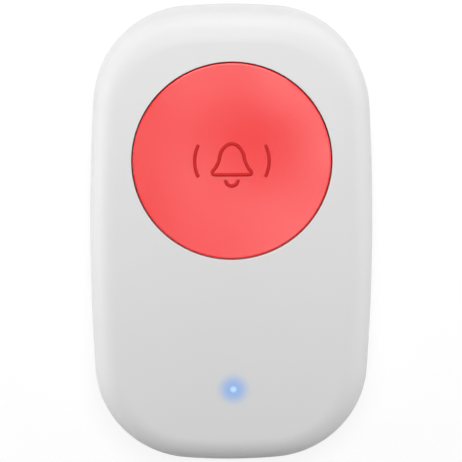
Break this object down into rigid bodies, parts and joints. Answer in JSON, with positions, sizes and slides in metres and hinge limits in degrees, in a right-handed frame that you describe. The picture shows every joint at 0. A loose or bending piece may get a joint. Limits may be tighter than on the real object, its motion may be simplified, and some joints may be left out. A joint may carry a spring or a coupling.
{
  "type": "wireless panic button",
  "caption": "Pocket wireless alarm transmitter with a rounded plastic case, a large dished round press button, a small indicator light and a coin-slot battery hatch in the back.",
  "frame": {"origin": "centre of the flat rear face, on which the part lies", "axes": "+Z out of the front face, +Y along the case towards the press button's end, +X to the right seen from the front"},
  "size_m": [0.04, 0.065, 0.015],
  "materials": {
    "case_plastic": "moulded ABS, fine satin",
    "button_plastic": "moulded ABS, fine satin",
    "seal_rubber": "smooth silicone rubber",
    "screw_steel": "zinc plated",
    "plated_steel": "nickel plated sheet",
    "cell_steel": "nickel plated can",
    "contact_brass": "tinned brass",
    "board_laminate": "green solder resist on glass laminate",
    "switch_plastic": "moulded, matt",
    "chip_plastic": "moulded epoxy",
    "capacitor_ceramic": "fired ceramic",
    "light_resin": "clear resin, lit blue",
    "clear_plastic": "clear polycarbonate"
  },
  "bodies": {
    "housing": {"front_cover": "case_plastic", "rear_cover": "case_plastic", "perimeter_seal": "seal_rubber", "cover_screws": "screw_steel", "circuit_board": "board_laminate", "board_screws": "screw_steel", "switch_base": "switch_plastic", "switch_frame": "plated_steel", "switch_dome": "plated_steel", "switch_terminals": "contact_brass", "wire_antenna": "contact_brass", "indicator_led": "light_resin", "light_guide": "clear_plastic", "control_chip": "chip_plastic", "radio_chip": "chip_plastic", "crystal_can": "plated_steel", "chip_capacitors": "capacitor_ceramic", "chip_resistors": "chip_plastic", "coin_cell": "cell_steel", "positive_contact": "plated_steel", "negative_contact": "plated_steel"},
    "button": {"button_cap": "button_plastic"},
    "plunger": {"switch_plunger": "switch_plastic"},
    "hatch": {"battery_hatch": "case_plastic", "hatch_seal": "seal_rubber"}
  },
  "joints": [
    {"name": "button_press", "type": "slide", "parent": "housing", "child": "button", "axis": [0, 0, -1], "range_m": [0, 0.0004], "stiffness_N_per_m": 3000, "springref_m": -0.0003},
    {"name": "plunger_press", "type": "slide", "parent": "housing", "child": "plunger", "axis": [0, 0, -1], "range_m": [0, 0.0004], "deforming": ["switch_dome"]},
    {"name": "hatch_turn", "type": "hinge", "parent": "housing", "child": "hatch", "pos_m": [0, -0.005, 0.001], "axis": [0, 0, -1], "range_deg": [0, 40]}
  ],
  "couplings": [
    {"joint": "plunger_press", "follows": "button_press", "ratio": 1}
  ]
}
